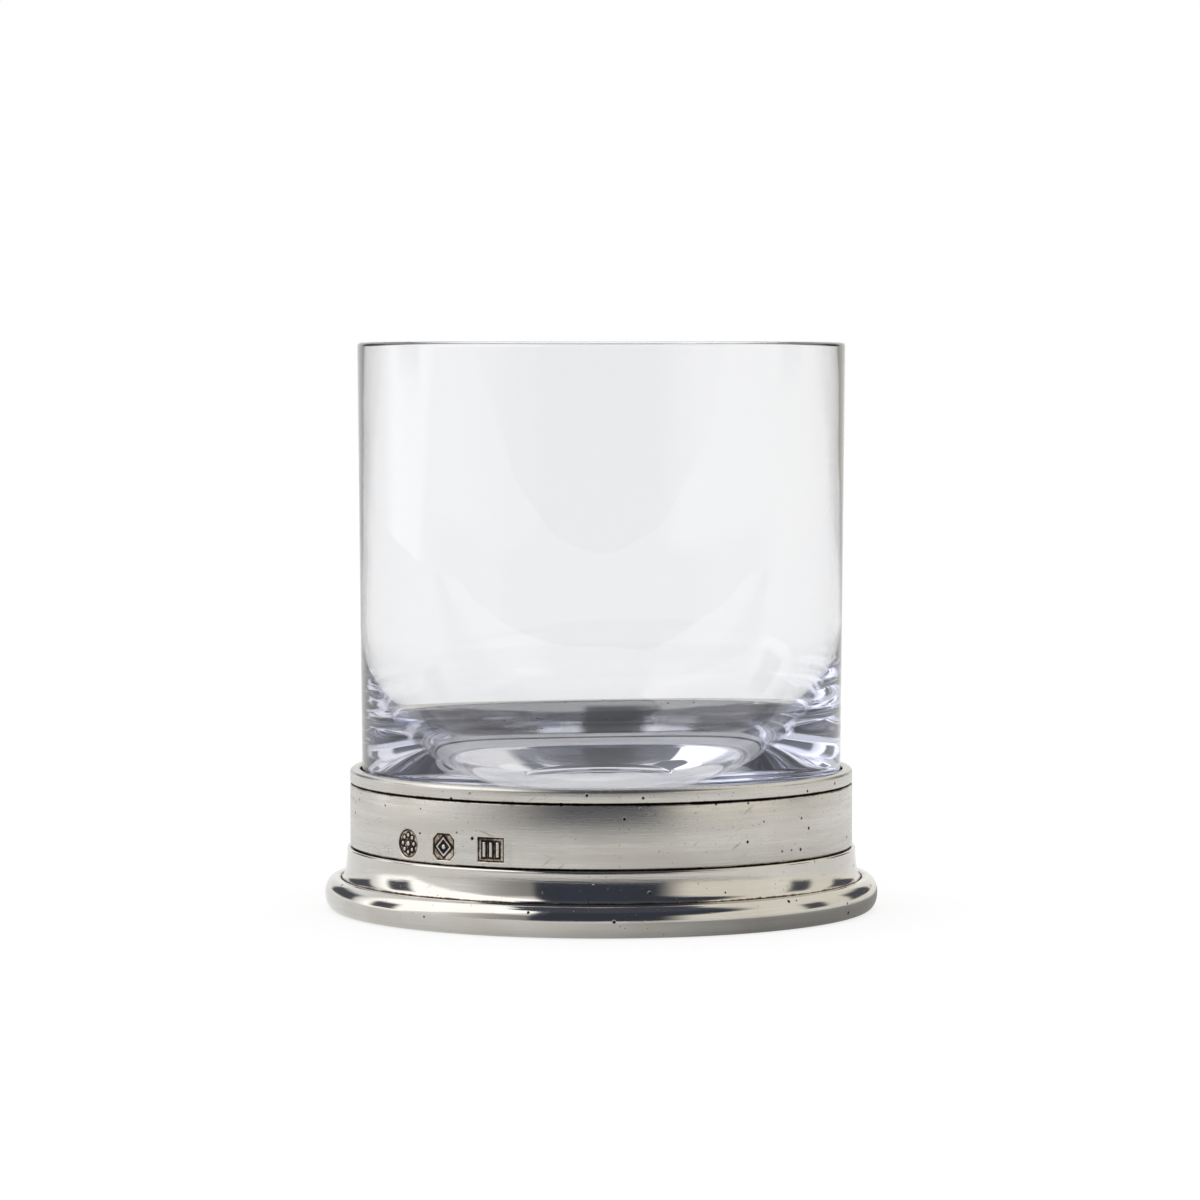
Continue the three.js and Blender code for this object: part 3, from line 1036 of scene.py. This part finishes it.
seat_corners = ring_section(SEAT_INNER, SEAT_OUTER, SEAT_BOTTOM, SEAT_TOP)
seat_bm = turn(seat_corners)
soften_rings(seat_bm, seat_corners, SEAT_CHAMFER)
make_piece(seat_bm, "seat_ring", seat_pewter)

bond_bm = turn(adhesive_section())
# The crevices between the beads get painted shade through the hollow attribute.
crevices = [(above[1] + below[0]) / 2 for above, below in zip(ADHESIVE_BEADS, ADHESIVE_BEADS[1:])]
mark_hollows(bond_bm, [adhesive_point(degrees, 1.0) + (CREVICE_REACH,) for degrees in crevices])
make_piece(bond_bm, "bond_ring", pale_bond)

# %% [markdown]
# The table is a plain pale floor. The camera and the glass see it as white, with the shadow of the
# object left in it, and other rays see an ordinary matt surface. Pewter sees it with a deeper shade
# close to the foot, on the right most of all, and with a dim strip across the table in front. The
# table ends not far behind the camera. Only the reflections show any of that. The glass gathers light
# on the table under it, which a renderer that follows rays from the camera finds hard, so that spot
# glows a little when it is seen through the glass. Far off, the table is a shade greyer there, which
# sets the wall off from its white surroundings. A bent ray counts as a glossy one too. The floor lies
# a hair under the foot, so that no two faces share one plane.

# %% Floor
FLOOR_SIZE = 6.0
FLOOR_FRONT = -1.0
FLOOR_DROP = 0.05 * MM
FLOOR_COLOUR = (0.85, 0.85, 0.85, 1.0)
FLOOR_SHADOW_SHARE = 0.30
FLOOR_GLOW = 0.74
MIRRORED_SHADOW_SHARE = 0.60
MIRRORED_GLOW = 0.47
GLASSED_LOSS = (0.07, 0.20)
GLASSED_FADE = (0.6, 1.8)
STRIP_NEAR = (-0.14, -0.29)
STRIP_FAR = (-0.60, -0.40)
STRIP_SHARE = 0.40
SHADE_SIDE = (-0.022, 0.032)
SHADE_REACH = (0.080, 0.056)
SHADE_SHARE = 0.42
UNDER_GLASS_GLOW = 0.26
UNDER_GLASS_REACH = (0.060, 0.045)


def make_floor_material():
    material, tree, shader = start_material("pale_floor")
    shader["Base Color"].default_value = FLOOR_COLOUR
    shader["Roughness"].default_value = 1.0
    shader["Specular IOR Level"].default_value = 0.0
    path = add_node(tree, "ShaderNodeLightPath").outputs
    direct = calc(tree, "MAXIMUM", path["Is Camera Ray"], path["Is Transmission Ray"])
    seen = calc(tree, "MAXIMUM", direct, path["Is Glossy Ray"])
    place = place_on_piece(tree)
    parts = axes_of(tree, place)
    strip = times(tree, ease(tree, parts["Y"], *STRIP_NEAR), ease(tree, parts["Y"], *STRIP_FAR))
    length = add_node(tree, "ShaderNodeVectorMath", operation="LENGTH")
    feed(tree, length.inputs[0], place)
    away = length.outputs["Value"]
    shade = times(tree, ease(tree, parts["X"], *SHADE_SIDE), ease(tree, away, *SHADE_REACH))
    lit = times(tree, spread(tree, strip, 1.0, STRIP_SHARE), spread(tree, shade, 1.0, SHADE_SHARE))
    lit = calc(tree, "MAXIMUM", lit, direct)
    matt = spread(tree, path["Is Glossy Ray"], FLOOR_SHADOW_SHARE, MIRRORED_SHADOW_SHARE)
    matt = times(tree, matt, lit)
    grey = add_node(tree, "ShaderNodeCombineColor", {"Red": matt, "Green": matt, "Blue": matt})
    shadow = add_node(tree, "ShaderNodeBsdfDiffuse", {"Color": grey.outputs["Color"]})
    strength = spread(tree, path["Is Glossy Ray"], FLOOR_GLOW, MIRRORED_GLOW)
    under = times(tree, ease(tree, away, *UNDER_GLASS_REACH), UNDER_GLASS_GLOW)
    loss = spread(tree, ease(tree, away, *GLASSED_FADE), *GLASSED_LOSS)
    change = times(tree, calc(tree, "SUBTRACT", under, loss), path["Is Transmission Ray"])
    strength = calc(tree, "ADD", strength, change)
    glow = add_node(tree, "ShaderNodeEmission", {"Strength": times(tree, lit, strength)})
    white = add_node(tree, "ShaderNodeAddShader")
    feed(tree, white.inputs[0], shadow.outputs["BSDF"])
    feed(tree, white.inputs[1], glow.outputs["Emission"])
    either = add_node(tree, "ShaderNodeMixShader", {"Fac": seen})
    feed(tree, either.inputs[1], tree.nodes["Principled BSDF"].outputs["BSDF"])
    feed(tree, either.inputs[2], white.outputs["Shader"])
    feed(tree, tree.nodes["Material Output"].inputs["Surface"], either.outputs["Shader"])
    return material


floor_bm = bmesh.new()
bmesh.ops.create_grid(floor_bm, x_segments=1, y_segments=1, size=FLOOR_SIZE / 2)
front_edge = [vert for vert in floor_bm.verts if vert.co.y < 0.0]
bmesh.ops.translate(floor_bm, verts=front_edge, vec=(0.0, FLOOR_FRONT + FLOOR_SIZE / 2, 0.0))
bmesh.ops.translate(floor_bm, verts=floor_bm.verts, vec=(0.0, 0.0, -FLOOR_DROP))
floor_mesh = bpy.data.meshes.new("table_floor")
floor_bm.to_mesh(floor_mesh)
floor_bm.free()
floor_mesh.materials.append(make_floor_material())
floor = bpy.data.objects.new("table_floor", floor_mesh)
bpy.context.scene.collection.objects.link(floor)
print(f"floor {FLOOR_SIZE:.0f} m wide, front edge at {FLOOR_FRONT:.1f} m")

# %% [markdown]
# Polished metal is a picture of the room, so the room can be read from the photograph. White cards
# stand at the back and the sides. A dark gap opens towards the camera, from 30 degrees left of it to
# about as far right, and over the low right card it opens wider and reaches overhead. The left
# edge is crisp and the right edge soft. Beside that left edge is the softbox, brighter than the rest,
# with a foot that slants up towards the gap. Below it the card fades towards the gap, and the right
# card is warmer. A black flag beside the gap counts only for paths mirrored twice. Low at the
# sides and at the back corners dark slots lie between the cards. In front, past the table's edge, is a
# grey floor. What is seen directly, or only bent by the glass, is plain white: the room applies once a
# path has been mirrored. Angles are in degrees, and an azimuth runs from the camera towards +X.

# %% World
GAP_LEFT = (30, 54, 42, 54)
GAP_RIGHT = (32, 68, 18, 28)
GAP_OVERHEAD = (0, 60, 60, 76)
GAP_BELOW = (0, 18, 0.5, -0.5)
LEFT_EDGE = math.radians(1.5)
RIGHT_EDGE = math.radians(9)
FADE = (-76, -31)
FADE_TOP = (26, 17)
SOFTBOX_SIDE = (-125, -112)
SOFTBOX_SLANT = 0.525
SOFTBOX_LOW = 49.0
SOFTBOX_EDGE = math.radians(1.5)
SOFTBOX_HIGH = (78, 66)
FLAG_WIDTH = math.radians(30)
SLOTS = [(-103, 8), (-140, 14), (101, 7), (140, 13)]
SLOT_EDGE = 2.5
SLOT_TOP = (26, 16)
SLOT_FOOT = (2, 4)
HORIZON = (0.5, -0.5)
RIGHT_SIDE = (-0.2, 0.5)
FRONT_SIDE = (0.1, -0.3)
MIRRORED_ONCE = 0.5
MIRRORED_TWICE = 1.5
LEFT_CARD = (1.0, 1.0, 1.0, 1.0)
RIGHT_CARD = (1.0, 0.975, 0.90, 1.0)
FADED_CARD = (0.34, 0.335, 0.325, 1.0)
GAP_COLOUR = (0.052, 0.060, 0.086, 1.0)
GAP_UPPER = (0.085, 0.092, 0.125, 1.0)
GAP_RISE = (34, 48)
SLOT_COLOUR = (0.10, 0.105, 0.125, 1.0)
ROOM_FLOOR = (0.42, 0.42, 0.43, 1.0)
SOFTBOX_COLOUR = (1.75, 1.75, 1.75, 1.0)
WHITE = (1.0, 1.0, 1.0, 1.0)

world = bpy.data.worlds.new("studio")
world.use_nodes = True
bpy.context.scene.world = world
room = world.node_tree
direction = add_node(room, "ShaderNodeTexCoord").outputs["Generated"]
axes = axes_of(room, direction)
azimuth = calc(room, "ARCTAN2", axes["X"], times(room, axes["Y"], -1.0))
elevation = calc(room, "ARCSINE", axes["Z"])


def step_over(angle, limits):
    """Go from 0 to 1 as an angle passes from the first limit to the second, in degrees."""
    return ease(room, angle, math.radians(limits[0]), math.radians(limits[1]))


def widen(first, last, *elevations):
    """An angle that goes from first to last between two elevations, all in degrees."""
    return spread(room, step_over(elevation, elevations), math.radians(first), math.radians(last))


more = calc(room, "ADD", widen(*GAP_OVERHEAD), widen(*GAP_BELOW))
path = add_node(room, "ShaderNodeLightPath").outputs
flag = times(room, calc(room, "GREATER_THAN", path["Glossy Depth"], MIRRORED_TWICE), FLAG_WIDTH)
left = calc(room, "ADD", calc(room, "ADD", widen(*GAP_LEFT), more), flag)
right = calc(room, "ADD", widen(*GAP_RIGHT), more)
past_left = ease(room, calc(room, "ADD", azimuth, left), -LEFT_EDGE, LEFT_EDGE)
past_right = ease(room, calc(room, "SUBTRACT", right, azimuth), -RIGHT_EDGE, RIGHT_EDGE)
gap = times(room, past_left, past_right)
fade = times(room, step_over(azimuth, FADE), step_over(elevation, FADE_TOP))
softbox_foot = calc(room, "MULTIPLY_ADD", azimuth, SOFTBOX_SLANT, math.radians(SOFTBOX_LOW))
softbox = ease(room, calc(room, "SUBTRACT", elevation, softbox_foot), -SOFTBOX_EDGE, SOFTBOX_EDGE)
softbox = times(room, softbox, step_over(azimuth, SOFTBOX_SIDE))
softbox = times(room, softbox, step_over(elevation, SOFTBOX_HIGH))
on_left = calc(room, "LESS_THAN", azimuth, 0.0)
slots = 0.0
for middle, half_width in SLOTS:
    off = calc(room, "ABSOLUTE", calc(room, "SUBTRACT", azimuth, math.radians(middle)))
    slot = ease(room, off, math.radians(half_width + SLOT_EDGE), math.radians(half_width - SLOT_EDGE))
    slots = calc(room, "MAXIMUM", slots, slot)
slots = times(room, slots, step_over(elevation, SLOT_TOP))
slots = times(room, slots, step_over(elevation, SLOT_FOOT))

cards = blend_colour(room, ease(room, axes["X"], *RIGHT_SIDE), LEFT_CARD, RIGHT_CARD)
cards = blend_colour(room, times(room, fade, on_left), cards, FADED_CARD)
cards = blend_colour(room, times(room, softbox, on_left), cards, SOFTBOX_COLOUR)
cards = blend_colour(room, slots, cards, SLOT_COLOUR)
in_front = ease(room, axes["Y"], *FRONT_SIDE)
below = times(room, step_over(elevation, HORIZON), in_front)
cards = blend_colour(room, below, cards, ROOM_FLOOR)
gap_shade = blend_colour(room, step_over(elevation, GAP_RISE), GAP_COLOUR, GAP_UPPER)
mirrored = blend_colour(room, gap, cards, gap_shade)
seen = blend_colour(room, calc(room, "GREATER_THAN", path["Glossy Depth"], MIRRORED_ONCE), WHITE, mirrored)
feed(room, room.nodes["Background"].inputs["Color"], seen)
print("world:", world.name)

# %% [markdown]
# The picture is judged by its plain colours, so the view transform is Standard.

# %% View and finish
bpy.context.scene.view_settings.view_transform = "Standard"
